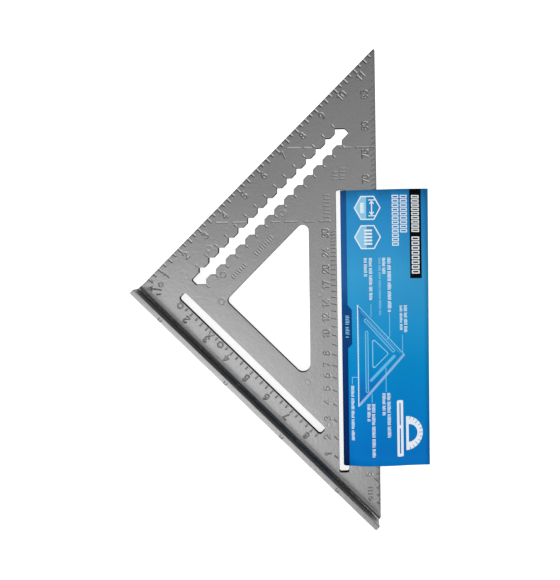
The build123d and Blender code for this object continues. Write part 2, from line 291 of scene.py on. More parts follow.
def front_marks():
    m = ruler_ticks()
    add = lambda strokes, r1=0.82, r0=0.10, d=0.37: m.extend((s, r1, r0, d) for s in strokes)
    # fence slot scale
    for q in range(7, 34):
        if q == 14:
            continue
        x = q * INCH / 4
        m.append(([(x + 0.2, FS[2] - 1.4), (x + 0.2, FS[2] - (4.1 if q % 2 == 0 else 3.5))], 0.88, 0.12, 0.42))
    for n in range(2, 9):
        add(number(str(n), n * INCH, 8.7, 5.6, (-1, 0), (0, -1)), 0.86, 0.10, 0.40)
    # ruler leg numerals
    for n in range(1, 12):
        add(number(str(n), 9.6, n * INCH, 5.8, (0, 1), (-1, 0)), 0.90, 0.10, 0.41)
    # hip and valley scale
    along, up = (-1, 1), (-1, -1)
    for n in range(1, 31):
        c = HS[0] - 1.5
        x, y = 17 * c / (17 + n), n * c / (17 + n)
        r = math.hypot(x, y)
        m.append(([(x, y), (x - x / r * 3.7, y - y / r * 3.7)], 0.80, 0.10, 0.38))
    hip = {1: (229.6, 10.8), 2: (218.1, 21.5), 3: (206.5, 34.0), 4: (195.8, 44.6), 5: (186.9, 53.5), 6: (178.5, 61.7),
           7: (171.3, 68.8), 8: (164, 76.3), 10: (151.5, 88.6), 12: (141, 99), 14: (131.9, 108.3), 17: (120, 120.3),
           20: (109.7, 130.7), 24: (99, 141.3), 30: (86.5, 153.8)}
    for n, (x, y) in hip.items():
        add(number(str(n), x, y, 5.6, along, up), 0.82, 0.10)
    # degree scale
    for a in range(1, 90):
        t = math.tan(math.radians(a))
        c = LEG_SUM + 2.0
        x, y = c / (1 + t), c * t / (1 + t)
        if y < 8.4 or x < 4.6:
            continue
        r = math.hypot(x, y)
        n = 6.2 if a % 5 else 9.0
        m.append(([(x, y), (x - x / r * n, y - y / r * n)], 0.64, 0.10, 0.31))
        if a % 5 == 0:
            c = 293.3
            x, y = c / (1 + t), c * t / (1 + t)
            add(number(str(a), x, y, 5.4, along, up), 0.78, 0.10, 0.36)
    # index ticks beside the scribing notches
    for k in range(SCR_N):
        y = SCR_FL + k * SCR_P
        m.append(([(SCR_TL - 1.4, y), (SCR_TL - 3.8, y)], 0.86, 0.10, 0.40))
        y = SCR_FR + k * SCR_P
        m.append(([(SCR_TR + 1.4, y), (SCR_TR + 3.3, y)], 0.86, 0.10, 0.40))
    # two broken guide lines at 45 degrees
    for c, runs in ((7 * INCH, [(7.4, 15.5), (18.4, 23.1), (41.4, 48.4), (51.9, 59.6), (61.4, 65)]),
                    (3.25 * INCH, [(8.7, 15.9), (19.4, 27.2), (44.2, 49.6), (52.9, 60.3), (65.4, 71.6), (75, 82.1)])):
        for a, b in runs:
            m.append(([(a, a + c), (b, b + c)], 0.82, 0.10, 0.38))
    # neutral stand-ins for captions: pivot sign, hatches, degree sign
    add(ring_marks(11.9, 16.0, 1.9), 0.74, 0.10, 0.36)
    add([[(15.6, 12.6), (6.4, 5.6)], [(6.4, 5.6), (9.9, 6.2)], [(6.4, 5.6), (7.7, 8.9)], [(17.9, 9.3), (15.6, 6.9)]], 0.74, 0.10, 0.36)
    add(hatch(54.2, 106.5, (0, 1), (-1, 0), 9, 2.6, 3.2), 0.70, 0.10, 0.34)
    add(hatch(54.2, 74, (0, 1), (-1, 0), 7, 2.6, 3.2), 0.70, 0.10, 0.34)
    add(hatch(71.3, 171.3, along, up, 8, 3.3, 4.2), 0.76, 0.10, 0.36)
    add(hatch(59.6, 203.4, along, up, 4, 3.2, 3.8), 0.74, 0.10, 0.36)
    add(hatch(56.4, 197.6, along, up, 3, 3.2, 3.8), 0.74, 0.10, 0.36)
    add(ring_marks(286.2, 8.4, 1.6), 0.70, 0.10, 0.34)
    add(hatch(281.0, 13.4, along, up, 3, 2.9, 4.0), 0.70, 0.10, 0.34)
    # set-out rings by the fence slot
    add(ring_marks(38.1, 14.4, 2.35), 0.76, 0.10, 0.40)
    add(ring_marks(88.9, 14.2, 2.35), 0.80, 0.10, 0.42)
    add([[(73.9, 16.6), (76.2, 12.9)], [(76.2, 12.9), (78.5, 16.6)]], 0.76, 0.10, 0.38)
    # ejector pin witness rings, shallow
    for x, y, r, d in ((62.3, 43.4, 2.6, 0.26), (46.2, 62, 2.5, 0.26), (20.6, 70, 2.4, 0.19), (46, 140, 2.6, 0.19),
                       (170.4, 45.8, 2.5, 0.16), (23.5, 38, 2.5, 0.10), (121.7, 111.2, 2.5, 0.10), (212.3, 31.4, 2.5, 0.12)):
        add(ring_marks(x, y, r), 0.60, 0.12, d)
    return m


def back_marks():
    m = ruler_ticks()
    for n in range(1, 12):
        m.extend((s, 0.68, 0.14, 0.30) for s in number(str(n), 9.6, n * INCH, 5.8, (0, -1), (-1, 0)))
    for x, y in ((50, 10), (140, 10), (230, 10), (18, 70), (18, 150), (18, 230), (50, 60), (50, 150), (170, 44), (118, 112), (212, 31.4)):
        m.extend((s, 0.46, 0.1, 0.13) for s in ring_marks(x, y, 3.0))
    return m


def drop_of(P, marks):
    """How far each point lies below the face because of the marks."""
    A, B, r1, r0, dep = [], [], [], [], []
    for pts, a, b, d in marks:
        for p, q in zip(pts[:-1], pts[1:]):
            A.append(p), B.append(q), r1.append(a), r0.append(b), dep.append(d)
    if not A:
        return np.zeros(len(P))
    r1, r0, dep = np.array(r1), np.array(r0), np.array(dep)
    out = np.zeros(len(P))
    for sl, d in seg_dist(P, A, B):
        out[sl] = (dep * np.clip((r1 - d) / (r1 - r0), 0, 1)).max(1)
    return out


def edge_drop(P, loop, bevel):
    """Height lost to a rounded edge along a closed loop. bevel is a number or a function of the points."""
    L = np.array(loop, float)
    out = np.zeros(len(P))
    for sl, d in seg_dist(P, L, np.roll(L, -1, 0)):
        d = d.min(1)
        b = bevel(P[sl]) if callable(bevel) else np.full(len(d), bevel)
        b = np.maximum(b, 1e-9)
        k = np.clip(b - d, 0, None)
        out[sl] = np.where(k > 0, b - np.sqrt(np.clip(b * b - k * k, 0, None)), 0)
    return out


class Soup:
    """Collects vertices and faces in millimetres."""

    def __init__(self):
        self.v, self.f, self.m = [], [], []

    def add(self, verts, faces, mats):
        o = len(self.v)
        self.v.extend([tuple(map(float, p)) for p in verts])
        self.f.extend([tuple(i + o for i in f) for f in faces])
        self.m.extend([mats] * len(faces) if isinstance(mats, int) else list(mats))

    def strip(self, A, ta, B, tb, mat):
        """Triangles between two rows of points that share a rising parameter."""
        i = j = 0
        f = []
        n = len(A)
        while i < len(A) - 1 or j < len(B) - 1:
            if j == len(B) - 1 or (i < len(A) - 1 and ta[i + 1] <= tb[j + 1] + 1e-6):
                f.append((i, n + j, i + 1))
                i += 1
            else:
                f.append((i, n + j, n + j + 1))
                j += 1
        self.add(list(A) + list(B), f, mat)

    def object(self, name, mats, weld=0.0015, smooth=32, crisp=None, closed=True):
        me = bpy.data.meshes.new(name)
        me.from_pydata([(x * MM, y * MM, z * MM) for x, y, z in self.v], [], self.f)
        me.polygons.foreach_set("material_index", self.m)
        bm = bmesh.new()
        bm.from_mesh(me)
        bmesh.ops.remove_doubles(bm, verts=bm.verts, dist=weld * MM)
        bmesh.ops.dissolve_degenerate(bm, edges=bm.edges, dist=0.0008 * MM)
        bmesh.ops.recalc_face_normals(bm, faces=bm.faces)
        if closed:
            # needle triangles left lying along a rim by the triangulation
            needles = [f for f in bm.faces if f.calc_area() < 1e-8 and any(len(e.link_faces) == 1 for e in f.edges)]
            bmesh.ops.delete(bm, geom=needles, context="FACES")
        loose = [v for v in bm.verts if not v.link_faces]
        bmesh.ops.delete(bm, geom=loose, context="VERTS")
        open_edges = sum(1 for e in bm.edges if len(e.link_faces) != 2)
        print("mesh", name, "faces", len(bm.faces), "edges not shared by two faces", open_edges)
        bm.to_mesh(me)
        bm.free()
        me.shade_smooth()
        me.set_sharp_from_angle(angle=math.radians(smooth))
        if crisp is not None:
            # the rim of every sunk mark stays crisp
            seen = {}
            for p in me.polygons:
                for k in p.edge_keys:
                    seen.setdefault(k, set()).add(p.material_index == crisp)
            for e in me.edges:
                if len(seen.get(e.key, ())) == 2:
                    e.use_edge_sharp = True
        ob = bpy.data.objects.new(name, me)
        bpy.context.scene.collection.objects.link(ob)
        for m in mats:
            me.materials.append(m)
        return ob


def cdt(points, edges, faces, eps=0.002):
    v, e, f, ov, oe, of = delaunay_2d_cdt([Vector(p) for p in points], edges, faces, 0, eps, True)
    return np.array([(q.x, q.y) for q in v]), f, of


def blade_shell(marks):
    """Plan triangulation of one blade face with its rounded rims, root fillet and sunk marks.
    Returns plan points, heights, triangles and material per triangle."""
    P, E, F = [], [], []

    def put(loop, closed=True):
        o = len(P)
        P.extend([tuple(q) for q in loop])
        n = len(loop)
        E.extend([(o + i, o + (i + 1) % n) for i in range(n if closed else n - 1)])
        return list(range(o, o + n))

    F.append(put(outer))
    for op in openings:
        F.append(put(op))
    ob = BEVEL_OUT * taper([q[1] for q in outer])
    for k in (0.3, 1.0):
        put(offset_loop(outer, ob * k))
    for op in openings:
        for k in (0.3, 1.0):
            put(offset_loop(op, -BEVEL_IN * k))
    for y in fil_y[1:]:
        put([(float(end_share(y)), y), (FL - float(end_share(y)), y)], closed=False)
    for y in out_y:
        put([(0.0, y), (LEG_SUM - y, y)], closed=False)
    for pts, r1, r0, d in marks:
        put(outline(pts, r1))
        put(outline(pts, r0))
    V, T3, of = cdt(P, E, F)
    keep = [t for t, o in zip(T3, of) if 0 in o and not any(k in o for k in range(1, len(openings) + 1))]
    lost = edge_drop(V, outer, lambda q: BEVEL_OUT * taper(q[:, 1]))
    # along the fence line there is no broken edge
    lost[V[:, 1] < CORNER + 1e-3] = 0
    for op in openings:
        lost = np.maximum(lost, edge_drop(V, op, BEVEL_IN))
    base = np.full(len(V), T)
    low = V[:, 1] < ROOT_R
    base[low] += ROOT_R - np.sqrt(np.clip(ROOT_R ** 2 - (ROOT_R - V[low, 1]) ** 2, 0, None))
    mark = drop_of(V, marks)
    H = base - np.maximum(lost, mark)
    cen = np.array([V[list(t)].mean(0) for t in keep])
    deep = drop_of(cen, [m for m in marks if m[3] > 0.2])
    return V, H, keep, [1 if q > 0.02 else 0 for q in deep]


def on_loop(V, H, loop):
    """The vertices that lie on a closed base loop, as (parameters, 3-D points), sorted along it."""
    L = np.array(loop, float)
    n = len(L)
    A, B = L, np.roll(L, -1, 0)
    out = []
    d = B - A
    L2 = (d * d).sum(1)
    for k in range(0, len(V), 600):
        q = V[k:k + 600]
        t = np.clip(((q[:, None] - A[None]) * d[None]).sum(2) / L2[None], 0, 1)
        c = A[None] + t[..., None] * d[None]
        dist = np.sqrt(((q[:, None] - c) ** 2).sum(2))
        i = dist.argmin(1)
        for r in range(len(q)):
            if dist[r, i[r]] < 0.0025:
                par = i[r] + t[r, i[r]]
                if par > n - 1e-4:
                    par = 0.0
                out.append((par, k + r))
    out.sort()
    return [p for p, _ in out], [(V[i][0], V[i][1], H[i]) for _, i in out]


def wall(soup, loop, top, bottom, mids, mat, span=None):
    """The side wall between the top and bottom shells along a base loop. mids are (z, offset) of rows between."""
    n = len(loop)
    tp, tv = on_loop(top[0], top[1], loop)
    bp, bv = on_loop(bottom[0], bottom[1], loop)
    bv = [(x, y, -z) for x, y, z in bv]

    def cut(par, pts):
        if span is None:
            assert abs(par[0]) < 1e-3, par[0]
            return list(par) + [n], list(pts) + [pts[0]]
        sel = [(p, q) for p, q in zip(par, pts) if span[0] - 1e-4 <= p <= span[1] + 1e-4]
        return [p for p, _ in sel], [q for _, q in sel]

    rows = [cut(tp, tv)]
    for z, o in mids:
        q = offset_loop(loop, o)
        rows.append(cut(list(range(n)), [(x, y, z) for x, y in q]))
    rows.append(cut(bp, bv))
    for (ta, a), (tb, b) in zip(rows[:-1], rows[1:]):
        soup.strip(a, ta, b, tb, mat)


# --------------------------------------------------------------- casting
soup = Soup()
top = blade_shell(front_marks())
bot = blade_shell(back_marks())
soup.add([(x, y, z) for (x, y), z in zip(top[0], top[1])], top[2], top[3])
soup.add([(x, y, -z) for (x, y), z in zip(bot[0], bot[1])], bot[2], bot[3])
for op in openings:
    # a cast opening narrows a little to the parting line at mid thickness
    wall(soup, op, top, bot, [(0.14, 0.09), (0.0, 0.15), (-0.14, 0.09)], 0)
wall(soup, outer, top, bot, [], 0, span=(I_FAR, I_NEAR))

# fence lips: plan strips above and below, with the rounded long edges
out_a = [90, 72, 54, 36, 18, 0]
lip = [(-FW + F_OUT_R - F_OUT_R * math.sin(math.radians(a)), FH - F_OUT_R + F_OUT_R * math.cos(math.radians(a))) for a in out_a]
lip += [(-F_IN_R + F_IN_R * math.sin(math.radians(a)), FH - F_IN_R + F_IN_R * math.cos(math.radians(a))) for a in (0, 22.5, 45, 67.5, 90)]
lip_marks = []
for x in (35.7, 116.3, 185.0, 254.0):
    lip_marks += [(s, 0.66, 0.10, 0.46) for s in (arc_pts(x, -3.05, 1.55, 1.55, 150, 390, 14),)]


def lip_shell(marks):
    P, E, F = [], [], []

    def put(loop, closed=True):
        o = len(P)
        P.extend([tuple(q) for q in loop])
        n = len(loop)
        E.extend([(o + i, o + (i + 1) % n) for i in range(n if closed else n - 1)])
        return list(range(o, o + n))

    ys = [y for y, _ in lip]
    a, b = END_R, FL - END_R
    F.append(put([(a, y) for y in ys[::-1]] + [(b, y) for y in ys]))
    for y in ys[1:-1]:
        put([(a, y), (b, y)], closed=False)
    for pts, r1, r0, d in marks:
        put(outline(pts, r1))
        put(outline(pts, r0))
    if area([P[i] for i in F[0]]) < 0:
        F[0].reverse()
    V, T3, of = cdt(P, E, F)
    keep = [t for t, o in zip(T3, of) if 0 in o]
    z = np.interp(V[:, 1], ys, [b for _, b in lip])
    z = z - drop_of(V, marks)
    cut = drop_of(np.array([V[list(t)].mean(0) for t in keep]), marks)
    return V, z, keep, [1 if q > 0.02 else 0 for q in cut]


for sign, marks in ((1, lip_marks), (-1, [])):
    V, z, keep, skin = lip_shell(marks)
    soup.add([(x, y, sign * h) for (x, y), h in zip(V, z)], keep, skin)
zi, zo = FH - F_IN_R, FH - F_OUT_R
zr = T + ROOT_R
a, b = END_R, FL - END_R
# the inner faces of the fence take material 2, the aluminium whose base colour is darkened as painted shade
soup.add([(a, 0, zr), (b, 0, zr), (b, 0, zi), (a, 0, zi)], [(0, 1, 2, 3)], 2)
soup.add([(a, 0, -zr), (b, 0, -zr), (b, 0, -zi), (a, 0, -zi)], [(3, 2, 1, 0)], 2)
soup.add([(a, -FW, -zo), (b, -FW, -zo), (b, -FW, zo), (a, -FW, zo)], [(0, 1, 2, 3)], 0)
# rounded end faces of the fence; the rounding dies out where the blade starts
prof = [(y, z) for y, z in lip] + list(zip(fil_y, fil_z))
ring0 = [(y, z) for y, z in prof] + [(y, -z) for y, z in reversed(prof)]
share = np.array([float(end_share(max(0.0, y))) for y, _ in ring0])
turn = -1.0 if area(ring0) < 0 else 1.0
for x_end, into in ((0.0, 1.0), (FL, -1.0)):
    rows = []
    for g in (0, 22.5, 45, 67.5, 90):
        g = math.radians(g)
        q = offset_loop(ring0, turn * share * (1 - math.cos(g)))
        rows.append([(x_end + into * sh * (1 - math.sin(g)), y, z) for sh, (y, z) in zip(share, q)])
    n = len(ring0)
    for r0_, r1_ in zip(rows[:-1], rows[1:]):
        faces = []
        for k in range(n):
            m = (k + 1) % n
            if share[k] < 1e-9 and share[m] < 1e-9:
                continue
            f4 = [k, m, n + m, n + k]
            if share[k] < 1e-9:
                f4 = [k, m, n + m]
            elif share[m] < 1e-9:
                f4 = [k, m, n + k]
            faces.append(tuple(f4 if into < 0 else f4[::-1]))
        soup.add(list(r0_) + list(r1_), faces, 0)
    cap = tuple(range(n))
    soup.add(rows[-1], [cap if into < 0 else cap[::-1]], 0)


# ------------------------------------------------------------- materials
def lin(c):
    """sRGB 0-255 to linear."""
    out = []
    for v in c:
        v = v / 255
        out.append(v / 12.92 if v <= 0.04045 else ((v + 0.055) / 1.055) ** 2.4)
    return tuple(out)


class Nodes:
    def __init__(self, name):
        self.mat = bpy.data.materials.new(name)
        self.mat.use_nodes = True
        self.t = self.mat.node_tree
        self.t.nodes.clear()
        self.out = self.t.nodes.new("ShaderNodeOutputMaterial")
        self.bsdf = self.t.nodes.new("ShaderNodeBsdfPrincipled")
        self.t.links.new(self.bsdf.outputs[0], self.out.inputs[0])
        self.obj = self.t.nodes.new("ShaderNodeTexCoord").outputs["Object"]

    def set(self, **kw):
        for k, v in kw.items():
            self.bsdf.inputs[k.replace("_", " ")].default_value = v

    def link(self, a, b):
        self.t.links.new(a, b)
        return a

    def noise(self, scale, detail=2.0, rough=0.5, stretch=None, rot=0.0, kind="Fac"):
        n = self.t.nodes.new("ShaderNodeTexNoise")
        n.inputs["Scale"].default_value = scale
        n.inputs["Detail"].default_value = detail
        n.inputs["Roughness"].default_value = rough
        m = self.t.nodes.new("ShaderNodeMapping")
        m.inputs["Scale"].default_value = stretch or (1, 1, 1)
        m.inputs["Rotation"].default_value = (0, 0, rot)
        self.link(self.obj, m.inputs["Vector"])
        self.link(m.outputs[0], n.inputs["Vector"])
        return n.outputs[kind]

    def math(self, op, a, b=None, c=None, clamp=False):
        n = self.t.nodes.new("ShaderNodeMath")
        n.operation = op
        n.use_clamp = clamp
        for i, v in enumerate((a, b, c)):
            if v is None:
                continue
            if isinstance(v, (int, float)):
                n.inputs[i].default_value = v
            else:
                self.link(v, n.inputs[i])
        return n.outputs[0]

    def ramp(self, fac, stops, interp="LINEAR"):
        n = self.t.nodes.new("ShaderNodeValToRGB")
        n.color_ramp.interpolation = interp
        el = n.color_ramp.elements
        while len(el) < len(stops):
            el.new(0.5)
        for e, (p, c) in zip(el, stops):
            e.position = p
            e.color = (*c, 1) if len(c) == 3 else c
        self.link(fac, n.inputs[0])
        return n.outputs[0]

    def grey(self, fac, lo, hi, a=0.0, b=1.0):
        n = self.t.nodes.new("ShaderNodeMapRange")
        for k, v in (("From Min", a), ("From Max", b), ("To Min", lo), ("To Max", hi)):
            n.inputs[k].default_value = v
        self.link(fac, n.inputs["Value"])
        return n.outputs[0]

    def mix(self, fac, a, b, blend="MIX"):
        n = self.t.nodes.new("ShaderNodeMix")
        n.data_type = "RGBA"
        n.blend_type = blend
        for sock, v in ((n.inputs["Factor"], fac), (n.inputs[6], a), (n.inputs[7], b)):
            if isinstance(v, (int, float)):
                sock.default_value = v
            elif isinstance(v, tuple):
                sock.default_value = (*v, 1)
            else:
                self.link(v, sock)
        return n.outputs[2]

    def bump(self, height, strength, distance, normal=None):
        n = self.t.nodes.new("ShaderNodeBump")
        n.inputs["Strength"].default_value = strength
        n.inputs["Distance"].default_value = distance
        self.link(height, n.inputs["Height"])
        if normal is not None:
            self.link(normal, n.inputs["Normal"])
        return n.outputs[0]

    def xyz(self):
        n = self.t.nodes.new("ShaderNodeSeparateXYZ")
        self.link(self.obj, n.inputs[0])
        return n.outputs


def aluminium(name, face=True, wall=False):
    n = Nodes(name)
    big = n.noise(14, 3, 0.55)                                   # cast flow patches, centimetres
    flow = n.noise(38, 3, 0.6, stretch=(1, 0.35, 1), rot=0.7)
    pebble = n.noise(330, 2, 0.55)                               # peened skin, two or three millimetres
    fine = n.noise(950, 3, 0.65)                                 # tumbled grain, about a millimetre
    grit = n.noise(4200, 2, 0.6)
    scuff = n.noise(60, 2, 0.7, stretch=(1, 26, 1), rot=-0.45)    # faint handling scuffs
    tone = n.math("MULTIPLY_ADD", big, 0.5, n.math("MULTIPLY", flow, 0.5))
    if face:
        col = n.ramp(tone, [(0.28, (0.560, 0.560, 0.566)), (0.5, (0.600, 0.600, 0.604)), (0.72, (0.640, 0.640, 0.642))])
        col = n.mix(n.grey(fine, 0.0, 0.20, 0.35, 0.75), col, (0.40, 0.40, 0.405))
        r = n.math("MULTIPLY_ADD", big, 0.07, 0.165)
        r = n.math("MULTIPLY_ADD", n.math("POWER", scuff, 3.0), 0.12, r)
        r = n.math("MULTIPLY_ADD", grit, 0.06, r)
    else:
        col = n.ramp(tone, [(0.28, (0.55, 0.55, 0.556)), (0.72, (0.63, 0.63, 0.634))])
        col = n.mix(n.grey(fine, 0.0, 0.26, 0.35, 0.75), col, (0.32, 0.32, 0.325))
        r = n.grey(grit, 0.25, 0.35)
    if wall:
        # painted shade: the inner wall of the fence gets a darker, a little streaky base colour standing in for the
        # shade it lies in; it is also a little rougher
        streak = n.noise(240, 3, 0.6, stretch=(1, 1, 0.12))
        col = n.mix(n.grey(streak, 0.45, 0.62, 0.3, 0.7), col, (0.16, 0.16, 0.165))
        r = n.math("ADD", r, 0.10)
    n.link(col, n.bsdf.inputs["Base Color"])
    n.link(r, n.bsdf.inputs["Roughness"])
    n.set(Metallic=1.0)
    b = n.bump(big, 0.16, 0.0008)
    b = n.bump(pebble, 0.50, 0.00018, b)
    b = n.bump(fine, 0.9, 0.00012, b)
    b = n.bump(grit, 0.18, 0.00001, b)
    n.link(b, n.bsdf.inputs["Normal"])
    return n.mat


ALU = aluminium("cast_aluminium")
ALU_MARK = aluminium("sunk_mark", face=False)
# the fence's inner wall: the same aluminium with painted shade darkening its base colour
ALU_WALL_PAINTED_SHADE = aluminium("fence_inner_wall_painted_shade", wall=True)

casting = soup.object("square_casting", [ALU, ALU_MARK, ALU_WALL_PAINTED_SHADE], crisp=1)
wn = casting.modifiers.new("weighted", "WEIGHTED_NORMAL")
wn.mode = "FACE_AREA"
wn.keep_sharp = True
wn.weight = 50
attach(casting, "square")
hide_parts("square")


# ------------------------------------------------------------- card sleeve
def clamped_spline(xs, ys):
    """Cubic spline through the points with level ends."""
    x, y = np.array(xs, float), np.array(ys, float)
    n, h = len(x), np.diff(xs)
    A, r = np.zeros((n, n)), np.zeros(n)
    A[0, 0], A[0, 1], r[0] = 2 * h[0], h[0], 6 * ((y[1] - y[0]) / h[0])
    A[-1, -1], A[-1, -2], r[-1] = 2 * h[-1], h[-1], -6 * ((y[-1] - y[-2]) / h[-1])
    for i in range(1, n - 1):
        A[i, i - 1], A[i, i], A[i, i + 1] = h[i - 1], 2 * (h[i - 1] + h[i]), h[i]
        r[i] = 6 * ((y[i + 1] - y[i]) / h[i] - (y[i] - y[i - 1]) / h[i - 1])
    M = np.linalg.solve(A, r)

    def f(q):
        q = np.clip(np.asarray(q, float), x[0], x[-1])
        i = np.clip(np.searchsorted(x, q) - 1, 0, n - 2)
        a, b, hh = x[i + 1] - q, q - x[i], h[i]
        return (M[i] * a ** 3 + M[i + 1] * b ** 3) / (6 * hh) + (y[i] / hh - M[i] * hh / 6) * a + (y[i + 1] / hh - M[i + 1] * hh / 6) * b

    return f


PANEL = {1: clamped_spline([FOLD_R, 14.0, 30.0, 48.0, SEAM_W], [FOLD_R, 4.9, 6.1, 6.9, SEAM_MID + SEAM_Z]),
         -1: clamped_spline([FOLD_R, 14.0, 30.0, 48.0, SEAM_W], [-FOLD_R, -4.5, -4.3, -0.9, SEAM_MID - SEAM_Z])}


def ease(t):
    t = np.clip(t, 0, 1)
    return t * t * (3 - 2 * t)


def curl(s, w):
    """The free edge stands a little higher at the tip end than at the fence end."""
    t = np.clip(np.asarray(s, float) / SL, 0, 1)
    return ease((np.asarray(w, float) - 22) / 44) * (4.0 * (1 - t) ** 1.6 - 1.8 * t ** 1.3)


def card_z(s, w, side):
    """Height of a panel's outside face above mid blade thickness, with its sign."""
    s, w = np.asarray(s, float), np.asarray(w, float)
    z = np.where(w < FOLD_R, side * np.sqrt(np.clip(FOLD_R ** 2 - (FOLD_R - w) ** 2, 0, None)), PANEL[side](w))
    amp = np.sin(np.pi * np.clip((w - 9) / 52, 0, 1)) ** 2
    ends = np.exp(-s / 22.0) + np.exp(-(SL - s) / 22.0)
    sway = 0.16 * np.cos(2 * np.pi * s / 173 + (0.7 if side > 0 else 2.9)) + 0.10 * np.sin(2 * np.pi * s / 71 + side)
    return z + side * amp * (sway + 0.30 * ends) + curl(s, w)


def card_point(s, w, z):
    total, dif = FOLD_SUM + w * S2, DIF0 + s * S2
    return ((total + dif) / 2, (total - dif) / 2, z)


BLUE, NAVY, BLACK, WHITE, PALE, FILL, LILAC, DIM = range(8)
art = []        # (material, polygon in (s, w)), later ones on top


def rect(m, s0, s1, w0, w1, r=0.0):
    p = [(s0, w0), (s1, w0), (s1, w1), (s0, w1)]
    art.append((m, round_poly(p, r, 3) if r else p))


def poly(m, p, r=0.0):
    art.append((m, ccw(round_poly(p, r, 3) if r else p)))


def line(m, p, width, cap=3):
    for a, b in zip(p[:-1], p[1:]):
        art.append((m, outline([a, b], width / 2, cap)))


def box_glyphs(m, back, s0, s1, w0, w1, n, stroke):
    """n hollow boxes in a row: neutral stand-ins for letters."""
    pitch = (s1 - s0) / n
    for i in range(n):
        a, b = s0 + i * pitch + pitch * 0.07, s0 + (i + 1) * pitch - pitch * 0.13
        rect(m, a, b, w0, w1, 0.35)
        rect(back, a + stroke, b - stroke, w0 + stroke, w1 - stroke)


def bars(m, s0, s1, w0, w1, seed, pitch=1.15, duty=0.55):
    """A row of thin upright bars in word-like groups: a neutral stand-in for small print."""
    rng = np.random.RandomState(seed)
    s = s0
    while s < s1 - pitch:
        n = int(rng.randint(4, 10))
        for _ in range(n):
            if s > s1 - pitch * duty:
                break
            top = w1 - (0.18 * (w1 - w0) if rng.rand() < 0.25 else 0)
            rect(m, s, s + pitch * duty, w0, top)
            s += pitch
        s += pitch * 0.9


